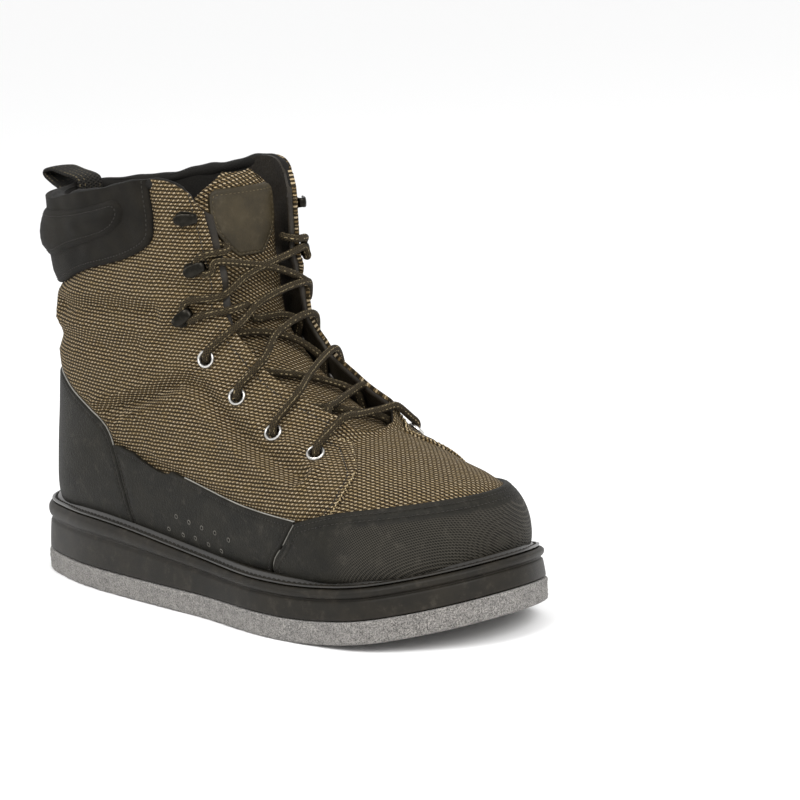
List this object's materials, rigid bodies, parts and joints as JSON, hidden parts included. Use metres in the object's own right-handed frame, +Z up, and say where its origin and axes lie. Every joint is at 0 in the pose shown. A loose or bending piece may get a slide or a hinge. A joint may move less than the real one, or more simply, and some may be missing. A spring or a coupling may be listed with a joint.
{
  "type": "wading boot",
  "caption": "High ankle wading boot for the right foot with a felt sole, rubber midsole, toe cap, heel counter and a laced throat with hooks above the eyelets.",
  "frame": {"origin": "on the flat underside of the felt sole, halfway along the sole's length", "axes": "+X to the toe, +Y to the inner side of the foot, +Z up"},
  "size_m": [0.318, 0.1185, 0.2136],
  "materials": {
    "cloth": "coarse two-tone weave",
    "panel": "matte synthetic leather",
    "lining": "soft brushed synthetic",
    "insole": "foam with a fabric face",
    "felt": "dense mottled felt",
    "rubber": "matte rubber",
    "eyelet": "satin metal",
    "hook": "dark gunmetal",
    "lace": "round braided cord"
  },
  "bodies": {
    "root": {"upper": "cloth", "heel_counter": "panel", "toe_cap": "panel", "side_rand_outer": "panel", "side_rand_inner": "panel", "collar_cuff": "lining", "collar_pad": "lining", "tongue": "cloth", "tongue_patch": "panel", "insole": "insole", "felt_outsole": "felt", "rubber_midsole": "rubber", "welt": "rubber", "pull_loop": "lining", "lace": "lace", "eyelet_outer_1": "eyelet", "eyelet_outer_2": "eyelet", "eyelet_outer_3": "eyelet", "eyelet_outer_4": "eyelet", "hook_outer_1": "hook", "hook_outer_2": "hook", "hook_outer_3": "hook", "eyelet_inner_1": "eyelet", "eyelet_inner_2": "eyelet", "eyelet_inner_3": "eyelet", "eyelet_inner_4": "eyelet", "hook_inner_1": "hook", "hook_inner_2": "hook", "hook_inner_3": "hook"}
  },
  "joints": []
}
